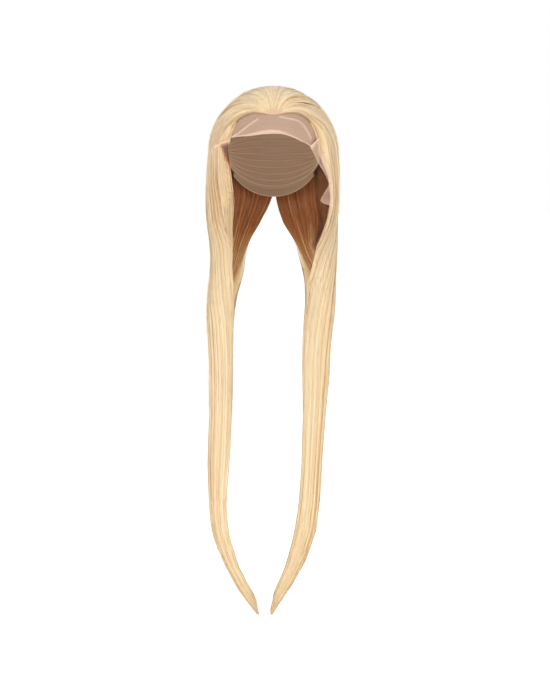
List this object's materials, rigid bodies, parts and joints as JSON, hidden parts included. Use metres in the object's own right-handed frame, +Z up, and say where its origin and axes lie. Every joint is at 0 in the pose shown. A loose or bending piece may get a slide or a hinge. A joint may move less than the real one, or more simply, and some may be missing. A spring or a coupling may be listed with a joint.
{
  "type": "lace front wig",
  "caption": "Very long straight blonde wig combed back from a sheer lace front, worn shape, with a net cap and two long front falls.",
  "frame": {"origin": "inside of the cap at the top of the crown, where the wig sits on the top of a head", "axes": "+Z up along the hanging hair, the face side looks along -Y, +X is the viewer's right"},
  "size_m": [0.2106, 0.1996, 0.8241],
  "materials": {
    "cap_net": "matte stretch net",
    "elastic_band": "matte woven elastic",
    "lace_net": "sheer fine net",
    "hair": "satin straight hair"
  },
  "bodies": {
    "root": {"cap_crown": "cap_net", "nape_band": "elastic_band", "lace_front": "lace_net", "ear_tab_left": "lace_net", "ear_tab_right": "lace_net", "hair_front_left": "hair", "hair_side_left": "hair", "hair_back_left": "hair", "hair_front_right": "hair", "hair_side_right": "hair", "hair_back_right": "hair"}
  },
  "joints": []
}
